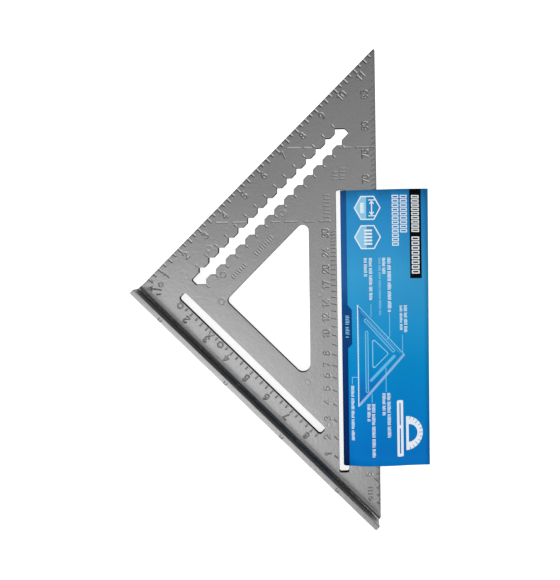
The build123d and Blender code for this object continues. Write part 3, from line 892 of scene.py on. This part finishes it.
def front_art():
    E = 6.0
    rect(NAVY, -E, SL + E, -E, 4.7)
    poly(NAVY, [(102.5, 4.6), (142.5, 4.6), (138.5, 8.4), (107.0, 8.4)])
    bars(PALE, 112.5, 133.5, 2.6, 6.2, 3, 1.5, 0.5)
    rect(BLACK, -E, 79.2, 62.7, 73.6)
    box_glyphs(WHITE, BLACK, 2.6, 37.2, 64.4, 71.6, 9, 1.0)
    box_glyphs(WHITE, BLACK, 40.6, 75.6, 64.4, 71.6, 8, 1.05)
    box_glyphs(WHITE, BLUE, 2.6, 37.6, 53.8, 60.2, 9, 0.85)
    box_glyphs(WHITE, BLUE, 2.6, 49.6, 46.2, 52.4, 12, 0.85)
    for c in (14.3, 40.9):
        hexa = [(c, 36.0), (c - 10.9, 29.9), (c - 10.9, 17.5), (c, 11.4), (c + 10.9, 17.5), (c + 10.9, 29.9)]
        poly(WHITE, hexa, 0.4)
        inner = [tuple(q) for q in offset_loop(ccw(hexa), 1.05)]
        poly(BLUE, inner, 0.2)
        low = [tuple(q) for q in offset_loop(ccw([(c - 10.9, 23.7), (c - 10.9, 17.5), (c, 11.4), (c + 10.9, 17.5), (c + 10.9, 23.7)]), 1.05)]
        poly(PALE, low)
    # badge one: a dimension arrow over a short rule; badge two: five tally bars
    line(WHITE, [(8.2, 27.6), (20.4, 27.6)], 1.1)
    for s, k in ((8.2, 1), (20.4, -1)):
        line(WHITE, [(s - 1.1 * k, 30.6), (s - 1.1 * k, 24.9)], 0.9)
        line(WHITE, [(s, 27.6), (s + 2.2 * k, 29.3)], 0.9)
        line(WHITE, [(s, 27.6), (s + 2.2 * k, 25.9)], 0.9)
    rect(WHITE, 9.6, 19.0, 17.2, 20.8, 0.4)
    for i in range(5):
        rect(PALE, 10.9 + i * 1.7, 11.4 + i * 1.7, 19.0, 20.8)
    for i in range(5):
        rect(WHITE, 33.9 + i * 3.05, 35.7 + i * 3.05, 20.4, 27.8, 0.35)
    # captions and their leader lines
    for s0, s1, w0, w1, seed in ((60, 110, 41.4, 44.7, 11), (60, 76.5, 36.6, 39.6, 12), (60, 100, 24.4, 27.4, 14),
                                 (60, 77, 19.8, 22.7, 15), (104, 128.5, 56.3, 59.4, 16), (104, 128.5, 52.3, 54.8, 17),
                                 (183.5, 225.5, 39.7, 42.9, 18), (183.5, 204.5, 35.2, 38.2, 19), (193, 242.5, 25.4, 28.5, 20),
                                 (193, 209.5, 21.2, 24.2, 21), (176.5, 227, 6.9, 9.6, 22)):
        bars(WHITE, s0, s1, w0, w1, seed)
    bars(PALE, 60, 113, 33.2, 35.3, 13, 0.95, 0.5)
    # line drawing of the tool
    L, A, R = (102.8, 13.6), (149.0, 56.2), (195.0, 13.6)
    poly(FILL, [L, R, A])
    line(PALE, [L, A], 0.75)
    line(DIM, [(107.6, 15.6), (147.6, 52.4)], 0.35)
    line(LILAC, [(149.2, 55.6), (193.4, 14.6)], 2.3)
    line(WHITE, [L, R], 0.75)
    for i in range(34):
        rect(PALE, 108.5 + i * 2.4, 109.0 + i * 2.4, 13.6, 14.8)
    for a, b, r, hollow in (((116.6, 20.6), (144.9, 45.9), 1.55, 0.62), ((150.0, 46.6), (171.2, 25.2), 1.35, 0.0), ((127.6, 21.5), (181.0, 21.5), 1.45, 0.6)):
        art.append((PALE if hollow else DIM, outline([a, b], r, 3)))
        if hollow:
            art.append((BLUE, outline([a, b], r - hollow, 3)))
            a, b = np.array(a), np.array(b)
            u = (b - a) / np.linalg.norm(b - a)
            k = 2.0
            while k < np.linalg.norm(b - a) - 1.5:
                q = a + u * k
                line(DIM, [tuple(q), tuple(q + u * 0.9)], 0.45, 2)
                k += 2.1
    tri = ccw([(147.3, 42.0), (132.2, 26.4), (162.2, 26.4)])
    poly(PALE, tri, 1.6)
    poly(BLUE, [tuple(q) for q in offset_loop(tri, 0.8)], 1.1)
    for p in ([(110.8, 42.8), (131.5, 42.8), (134.5, 40.0)], [(102.2, 25.8), (113.2, 25.8)], [(130.8, 54.6), (147.2, 54.6)],
              [(160.2, 38.8), (182.2, 38.8)], [(183.6, 25.7), (191.6, 25.7)], [(168.6, 13.0), (168.6, 8.1), (174.6, 8.1)]):
        line(PALE, p, 0.5, 2)
    # a plain protractor pictogram over a plain bar
    c = (221.3, 57.0)
    poly(WHITE, [(c[0] + 15.6 * math.cos(math.radians(a)), c[1] + 15.6 * math.sin(math.radians(a))) for a in range(0, 181, 6)])
    poly(BLUE, [(c[0] + 8.2 * math.cos(math.radians(a)), c[1] + 2.4 + 8.2 * math.sin(math.radians(a))) for a in range(0, 181, 9)])
    for a in range(15, 180, 15):
        u = np.array([math.cos(math.radians(a)), math.sin(math.radians(a))])
        line(BLUE, [tuple(np.array(c) + u * 15.7), tuple(np.array(c) + u * (13.4 if a % 45 else 12.2))], 0.55, 2)
    rect(WHITE, 190.6, 242.2, 48.6, 54.4, 1.2)
    rect(BLUE, 193.2, 213.6, 50.9, 52.1, 0.3)
    rect(BLUE, 216.4, 239.6, 50.9, 52.1, 0.3)


def back_art():
    E = 6.0
    rect(NAVY, -E, SL + E, -E, 4.7)
    rect(BLACK, SL - 79.2, SL + E, 62.7, 73.6)
    box_glyphs(WHITE, BLACK, SL - 75.6, SL - 40.6, 64.4, 71.6, 8, 1.05)
    box_glyphs(WHITE, BLACK, SL - 37.2, SL - 2.6, 64.4, 71.6, 9, 1.0)
    for k in range(6):
        bars(WHITE, 14, 118 - 9 * (k % 3), 55 - k * 6.4, 57.8 - k * 6.4, 40 + k)
    rect(WHITE, 176, 232, 16, 46, 1.0)
    x = 181.0
    rng = np.random.RandomState(7)
    while x < 227:
        wd = float(rng.choice([0.5, 0.8, 1.2]))
        rect(BLACK, x, x + wd, 23, 42.5)
        x += wd + float(rng.choice([0.6, 0.9, 1.3]))
    rect(DIM, 190, 218, 18.6, 20.6, 0.3)


ISO_W = [FOLD_R * (1 - math.cos(math.radians(a))) for a in (0, 12, 24, 38, 52, 66, 79, 90)]
ISO_W += [3.9, 4.8] + [4.8 + (SEAM_W - 4.8) * i / 26 for i in range(1, 27)] + [73.9, SW]
ISO_S = [SL * i / 20 for i in range(21)]


def printed_at(p):
    """Where the artwork lands on the sheet: a small stretch towards the outer edge."""
    s, w = np.array(p, float).T
    b = [np.ones_like(s), s, w, s * w, s * s, w * w, s * w * w, s * s * w, w ** 3]
    ds = sum(c * q for c, q in zip((1.5838, 0.0031288, 0.039565, -0.00020523, -1.1638e-05, -0.00085245, -2.7504e-06, 8.7163e-07, 8.461e-06), b))
    dw = sum(c * q for c, q in zip((0.61169, -0.00055964, 0.028242, 1.9408e-05, 1.5139e-06, -0.0011781, 9.8654e-07, -9.3772e-08, 5.9686e-06), b))
    return [(a, c) for a, c in zip(s + ds, w + dw)]


def panel(side, draw):
    art.clear()
    draw()
    P, E, F, M = [], [], [], []

    def put(loop, closed=True):
        o = len(P)
        P.extend([tuple(q) for q in loop])
        n = len(loop)
        E.extend([(o + i, o + (i + 1) % n) for i in range(n if closed else n - 1)])
        return list(range(o, o + n))

    F.append(put([(s, 0.0) for s in ISO_S] + [(SL, w) for w in ISO_W[1:]] + [(s, SW) for s in ISO_S[-2::-1]] + [(0.0, w) for w in ISO_W[-2:0:-1]]))
    M.append(BLUE)
    for w in ISO_W[1:-1]:
        put([(0.0, w), (SL, w)], closed=False)
    for s in ISO_S[1:-1]:
        put([(s, 0.0), (s, SW)], closed=False)
    for m, p in art:
        F.append(put(ccw(printed_at(p))))
        M.append(m)
    V, T3, of = cdt(P, E, F, 0.004)
    keep = [(t, M[max(o)]) for t, o in zip(T3, of) if 0 in o]
    z = card_z(V[:, 0], V[:, 1], side)
    return [card_point(a, b, c) for (a, b), c in zip(V, z)], [t for t, _ in keep], [m for _, m in keep]


def along_card(n):
    """Share of the way along the sleeve, from its tip end, as a shader value."""
    x = n.xyz()
    d = n.math("SUBTRACT", x[0], x[1])
    return n.math("DIVIDE", n.math("SUBTRACT", n.math("DIVIDE", d, S2), DIF0 / S2 * MM), SL * MM)


def across_card(n):
    x = n.xyz()
    d = n.math("ADD", x[0], x[1])
    return n.math("DIVIDE", n.math("SUBTRACT", n.math("DIVIDE", d, S2), FOLD_SUM / S2 * MM), SW * MM)


def printed(name, colour=None, stops=None, strength=1.0, fade=None):
    """Ink on varnished card: slight ink mottle, paper fibre under the varnish, a soft sheen."""
    n = Nodes(name)
    mott = n.noise(420, 3, 0.6)
    cloud = n.noise(18, 2, 0.5)
    fibre = n.noise(900, 3, 0.7, stretch=(1, 0.3, 1), rot=0.78)
    if stops:
        base = n.ramp(along_card(n), [(p, lin(c)) for p, c in stops])
    else:
        r = n.t.nodes.new("ShaderNodeRGB")
        r.outputs[0].default_value = (*lin(colour), 1)
        base = r.outputs[0]
    if fade:
        base = fade(n, base)
    k = n.math("ADD", n.grey(mott, -0.035, 0.035, 0.3, 0.7), n.grey(cloud, -0.02, 0.02, 0.3, 0.7))
    k = n.math("ADD", k, strength)
    base = n.mix(1.0, base, n.ramp(k, [(0.0, (0, 0, 0)), (1.0, (1, 1, 1))]), "MULTIPLY") if strength < 1 else n.mix(
        n.grey(mott, 0.0, 0.05, 0.3, 0.7), base, (0.01, 0.03, 0.08))
    n.link(base, n.bsdf.inputs["Base Color"])
    n.link(n.grey(mott, 0.30, 0.42), n.bsdf.inputs["Roughness"])
    n.set(Metallic=0.0)
    n.bsdf.inputs["Specular IOR Level"].default_value = 0.05
    b = n.bump(cloud, 0.12, 0.0003)
    b = n.bump(fibre, 0.16, 0.00002, b)
    n.link(b, n.bsdf.inputs["Normal"])
    return n.mat


BLUE_STOPS = [(0.0, (38, 128, 189)), (0.1, (46, 143, 202)), (0.2, (50, 149, 206)), (0.3, (57, 158, 210)), (0.4, (46, 152, 208)),
              (0.5, (30, 148, 208)), (0.62, (6, 138, 202)), (0.7, (2, 133, 202)), (0.82, (2, 126, 200)), (0.92, (2, 116, 194)), (1.0, (1, 112, 190))]
NAVY_STOPS = [(0.0, (26, 82, 140)), (0.2, (34, 90, 153)), (0.34, (38, 92, 152)), (0.42, (14, 72, 132)), (0.6, (8, 56, 112)), (0.8, (2, 40, 96)), (1.0, (8, 34, 82))]


def corner_shade(n, base):
    """The blue is a little deeper towards the outer corner at the tip end."""
    a, c = along_card(n), across_card(n)
    d = n.math("SUBTRACT", n.math("MULTIPLY", c, 0.55), a)
    return n.mix(n.grey(d, 0.0, 0.55, 0.1, 0.6), base, lin((10, 108, 176)))


def drawing_fill(n, base):
    a = n.math("ABSOLUTE", n.math("SUBTRACT", along_card(n), 149.0 / SL))
    return n.mix(n.grey(a, 0.0, 0.62, 0.055, 0.17), base, lin((18, 84, 172)))


PRINTS = [
    printed("print_blue", stops=BLUE_STOPS, fade=corner_shade),
    printed("print_navy", stops=NAVY_STOPS),
    printed("print_black", colour=(8, 8, 9)),
    printed("print_white", colour=(236, 242, 246)),
    printed("print_pale_blue", colour=(142, 204, 236)),
    printed("print_drawing", stops=BLUE_STOPS, fade=drawing_fill),
    printed("print_lilac", colour=(140, 184, 228)),
    printed("print_light_blue", colour=(104, 186, 232)),
]


def raw_card():
    n = Nodes("card_inside")
    fibre = n.noise(700, 4, 0.7, stretch=(1, 0.25, 1), rot=0.78)
    speck = n.noise(2600, 2, 0.6)
    col = n.ramp(fibre, [(0.3, (0.60, 0.585, 0.55)), (0.55, (0.70, 0.69, 0.66)), (0.75, (0.76, 0.75, 0.73))])
    n.link(n.mix(n.grey(speck, 0.0, 0.18, 0.55, 0.8), col, (0.42, 0.38, 0.32)), n.bsdf.inputs["Base Color"])
    n.link(n.grey(fibre, 0.78, 0.94), n.bsdf.inputs["Roughness"])
    n.link(n.bump(fibre, 0.35, 0.00004), n.bsdf.inputs["Normal"])
    return n.mat


card = Soup()
for side, draw in ((1, front_art), (-1, back_art)):
    v, f, m = panel(side, draw)
    card.add(v, f, m)
sleeve = card.object("card_sleeve_printed", PRINTS + [raw_card()], weld=0.003, smooth=70, closed=False)
up = sum(p.normal.z * p.area for p in sleeve.data.polygons if p.center.z > 0)
if up < 0:
    sleeve.data.flip_normals()
thick = sleeve.modifiers.new("board", "SOLIDIFY")
thick.thickness = CARD_T * MM
thick.offset = -1.0
thick.use_even_offset = True
thick.material_offset = len(PRINTS)
thick.material_offset_rim = len(PRINTS)
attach(sleeve, "sleeve")
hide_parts("card_sleeve")


# ---------------------------------------------------------------- glue line
def glue_material():
    n = Nodes("dried_glue")
    a, b = n.noise(160, 3, 0.6), n.noise(1500, 2, 0.6)
    n.link(n.ramp(a, [(0.3, (0.62, 0.52, 0.33)), (0.7, (0.74, 0.66, 0.48))]), n.bsdf.inputs["Base Color"])
    n.link(n.grey(b, 0.35, 0.55), n.bsdf.inputs["Roughness"])
    n.set(Metallic=0.0)
    n.bsdf.inputs["Transmission Weight"].default_value = 0.25
    n.link(n.bump(b, 0.3, 0.00003), n.bsdf.inputs["Normal"])
    return n.mat


def glue_mesh():
    """A squeezed bead of glue: wavy long edges, round ends, slightly pillowed between the two panels."""
    N, K = 150, 7
    s0, s1, w0, w1 = 1.7, SL - 1.7, 71.1, 77.8
    v, f = [], []
    for side in (1, -1):
        for i in range(N + 1):
            s = s0 + (s1 - s0) * i / N
            end = min(1.0, math.sqrt(max(0.0, 1 - (1 - min(s - s0, s1 - s) / 3.0) ** 2)) if min(s - s0, s1 - s) < 3.0 else 1.0)
            half = (w1 - w0) / 2 * (0.25 + 0.75 * end)
            mid = (w0 + w1) / 2
            lo = mid - half + 0.28 * (1 + math.sin(s * 0.37) * math.cos(s * 0.113)) * end
            hi = mid + half - 0.28 * (1 + math.sin(s * 0.29 + 1.1) * math.cos(s * 0.171)) * end
            for j in range(K + 1):
                t = j / K
                z = GLUE_T / 2 * (1.0 if 0 < j < K and 0 < i < N else 0.25)
                w = lo + (hi - lo) * t
                v.append(card_point(s, w, SEAM_MID + side * z + float(curl(s, w))))
    row = (N + 1) * (K + 1)
    at = lambda side, i, j: (0 if side > 0 else row) + i * (K + 1) + j
    for i in range(N):
        for j in range(K):
            f.append((at(1, i, j), at(1, i + 1, j), at(1, i + 1, j + 1), at(1, i, j + 1)))
            f.append((at(-1, i, j), at(-1, i, j + 1), at(-1, i + 1, j + 1), at(-1, i + 1, j)))
        for j, k in ((0, 1), (K, -1)):
            q = (at(1, i, j), at(-1, i, j), at(-1, i + 1, j), at(1, i + 1, j))
            f.append(q if k > 0 else q[::-1])
    for j in range(K):
        for i, k in ((0, -1), (N, 1)):
            q = (at(1, i, j), at(-1, i, j), at(-1, i, j + 1), at(1, i, j + 1))
            f.append(q if k > 0 else q[::-1])
    return v, f


glue = Soup()
gv, gf = glue_mesh()
glue.add(gv, gf, 0)
bead = glue.object("glue_bead", [glue_material()], weld=0.0005, smooth=50)
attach(bead, "sleeve")
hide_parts("glue_strip")


# -------------------------------------------------------------------- stage
def floor_material():
    n = Nodes("floor_paper")
    n.set(Roughness=0.95)
    n.bsdf.inputs["Specular IOR Level"].default_value = 0.0
    path = n.t.nodes.new("ShaderNodeLightPath").outputs
    n.bsdf.inputs["Emission Color"].default_value = (1, 1, 1, 1)
    n.link(n.math("MULTIPLY", path["Is Camera Ray"], 0.82), n.bsdf.inputs["Emission Strength"])
    # mirrored in the metal the patch under the tool is in shade, so the walls of the openings draw as lines
    paper = n.ramp(n.noise(300, 2, 0.5), [(0.3, (0.86, 0.86, 0.86)), (0.7, (0.88, 0.88, 0.88))])
    x = n.xyz()
    under = n.math("MULTIPLY", n.math("GREATER_THAN", x[0], 0.002), n.math("GREATER_THAN", x[1], -0.003))
    under = n.math("MULTIPLY", under, n.math("LESS_THAN", n.math("ADD", x[0], x[1]), 0.304))
    n.link(n.mix(n.math("MULTIPLY", under, path["Is Glossy Ray"]), paper, (0.10, 0.10, 0.10)), n.bsdf.inputs["Base Color"])
    return n.mat


# the tool rests on the lower edge of its fence and, at the far end, on the sleeve
SLOPE = 0.0362
R = 4000.0
ring = [(R * math.cos(math.radians(a)), R * math.sin(math.radians(a))) for a in range(0, 360, 5)]
fl = bpy.data.meshes.new("floor")
fl.from_pydata([(x * MM, y * MM, (-FH - 0.02 + SLOPE * (y + FW)) * MM) for x, y in ring], [], [tuple(range(len(ring)))])
floor = bpy.data.objects.new("floor", fl)
bpy.context.scene.collection.objects.link(floor)
fl.materials.append(floor_material())

# The studio: white paper to the camera, even light on matt surfaces, and for reflections a soft
# bank of light on the fence side, a grey ceiling and a dark room beyond the tip.
world = bpy.data.worlds.new("studio")
bpy.context.scene.world = world
world.use_nodes = True
world.cycles.sampling_method = "NONE"
wt = world.node_tree
wt.nodes.clear()


def wnode(kind, **kw):
    n = wt.nodes.new(kind)
    for k, v in kw.items():
        setattr(n, k, v)
    return n


def wmath(op, a, b=None, c=None):
    n = wnode("ShaderNodeMath", operation=op)
    for i, v in enumerate((a, b, c)):
        if isinstance(v, (int, float)):
            n.inputs[i].default_value = v
        elif v is not None:
            wt.links.new(v, n.inputs[i])
    return n.outputs[0]


STUDIO = [(-180, 0.06), (-95, 0.03), (-62, 0.03), (-46, 0.12), (-34, 0.28), (-22, 0.43), (-12, 0.51), (-4, 0.50), (4, 0.49), (8, 0.52),
          (14, 0.62), (19, 1.04), (25, 1.42), (34, 1.60), (50, 1.75), (66, 1.35), (82, 0.7), (98, 0.45), (180, 0.3)]
ASIDE = [(-90, 0.95), (-80, 0.70), (-68, 0.32), (-55, 0.14), (-35, 0.32), (-22, 0.66), (-12, 0.92), (-4, 1.0), (8, 1.0), (16, 0.88), (21, 0.70), (26, 0.50), (45, 0.38), (64, 0.40), (80, 0.75), (90, 0.95)]


def wramp(angle, stops, top):
    n = wnode("ShaderNodeValToRGB")
    el = n.color_ramp.elements
    while len(el) < len(stops):
        el.new(0.5)
    for e, (deg, v) in zip(el, stops):
        e.position = (deg + 180) / 360
        e.color = (v / top, v / top, v / top, 1)
    wt.links.new(wmath("MULTIPLY_ADD", angle, 1 / (2 * math.pi), 0.5), n.inputs[0])
    return wmath("MULTIPLY", n.outputs[0], top)


tc = wnode("ShaderNodeTexCoord")
sep = wnode("ShaderNodeSeparateXYZ")
wt.links.new(tc.outputs["Generated"], sep.inputs[0])
lean = wmath("ARCTAN2", wmath("MULTIPLY", sep.outputs[1], -1.0), sep.outputs[2])
aside = wmath("ARCSINE", sep.outputs[0])
along_y = wramp(lean, STUDIO, 2.0)
along_x = wramp(aside, ASIDE, 1.0)


def wease(v, a, b):
    n = wnode("ShaderNodeMapRange", interpolation_type="SMOOTHSTEP")
    n.inputs["From Min"].default_value, n.inputs["From Max"].default_value = math.radians(a), math.radians(b)
    wt.links.new(v, n.inputs["Value"])
    return n.outputs[0]


# to either side of the dark room the walls are light again, for views across the blade
walls = wmath("MULTIPLY", wease(wmath("ABSOLUTE", aside), 33, 45), wease(wmath("MULTIPLY", lean, -1.0), 22, 48))
walls = wmath("MULTIPLY", walls, 0.74)
lamp = wnode("ShaderNodeVectorMath", operation="DOT_PRODUCT")
lamp.inputs[1].default_value = Vector((0.12, -0.11, 0.985)).normalized()
wt.links.new(tc.outputs["Generated"], lamp.inputs[0])
glow = wmath("MULTIPLY", wmath("EXPONENT", wmath("MULTIPLY", wmath("SUBTRACT", lamp.outputs["Value"], 1.0), 42.0)), 0.25)
reflected = wmath("MULTIPLY_ADD", along_y, along_x, wmath("ADD", glow, walls))
reflected = wmath("MULTIPLY", reflected, 0.8)
path = wnode("ShaderNodeLightPath")
AMBIENT = 0.64
level = wmath("MULTIPLY_ADD", path.outputs["Is Glossy Ray"], wmath("SUBTRACT", reflected, AMBIENT), AMBIENT)
level = wmath("MULTIPLY_ADD", path.outputs["Is Camera Ray"], wmath("SUBTRACT", 1.0, level), level)
bg, wo = wnode("ShaderNodeBackground"), wnode("ShaderNodeOutputWorld")
bg.inputs[0].default_value = (1, 1, 1, 1)
wt.links.new(level, bg.inputs[1])
wt.links.new(bg.outputs[0], wo.inputs[0])


def softbox(name, at, size, power, target=(0.11, 0.13, 0.0)):
    d = bpy.data.lights.new(name, "AREA")
    d.shape = "RECTANGLE"
    d.size, d.size_y = size
    d.energy = power
    o = bpy.data.objects.new(name, d)
    bpy.context.scene.collection.objects.link(o)
    o.location = at
    o.rotation_mode = "QUATERNION"
    o.rotation_quaternion = (Vector(target) - Vector(at)).to_track_quat("-Z", "Y")
    return o


c = Vector((0.11, 0.13, 0.0))
d = Vector((-0.08, -1.56, 1.0)).normalized()
key = softbox("key", tuple(c + d * 2.0), (1.3, 1.0), 24)
key.visible_glossy = False

# ------------------------------------------------------------------- camera
cd = bpy.data.cameras.new("photo_view")
cam = bpy.data.objects.new("photo_view", cd)
bpy.context.scene.collection.objects.link(cam)
right = Vector((0.71681187, 0.69709164, 0.01562034))
down = Vector((0.69714315, -0.71692665, 0.00275854))
fwd = Vector((0.01312159, 0.00891226, -0.99987419))
m3 = Matrix((right, -down, -fwd)).transposed()
CAM_Z = 0.4130802
cam.matrix_world = Matrix.Translation((0.1022934, 0.1478445, CAM_Z)) @ m3.to_4x4()
cd.sensor_width = 36.0
cd.lens = 448.967 / 580 * 36
cd.clip_start, cd.clip_end = 0.01, 20
bpy.context.scene.camera = cam
# the photo is cropped off its optical axis: the lens shift holds only at the photo's own viewpoint
for prop, value in (("shift_x", -(340.116 - 280) / 580), ("shift_y", (251.047 - 290) / 580)):
    drv = cd.driver_add(prop).driver
    drv.type = "SCRIPTED"
    var = drv.variables.new()
    var.name = "z"
    var.type = "SINGLE_PROP"
    var.targets[0].id = cam
    var.targets[0].data_path = "location[2]"
    drv.expression = "%.6f if abs(z - %.6f) < 0.0005 else 0.0" % (value, CAM_Z)
bpy.context.scene.view_settings.view_transform = "Standard"
bpy.context.scene.view_settings.look = "None"
bpy.context.scene.view_settings.exposure = 0.0
bpy.context.scene.view_settings.gamma = 1.0
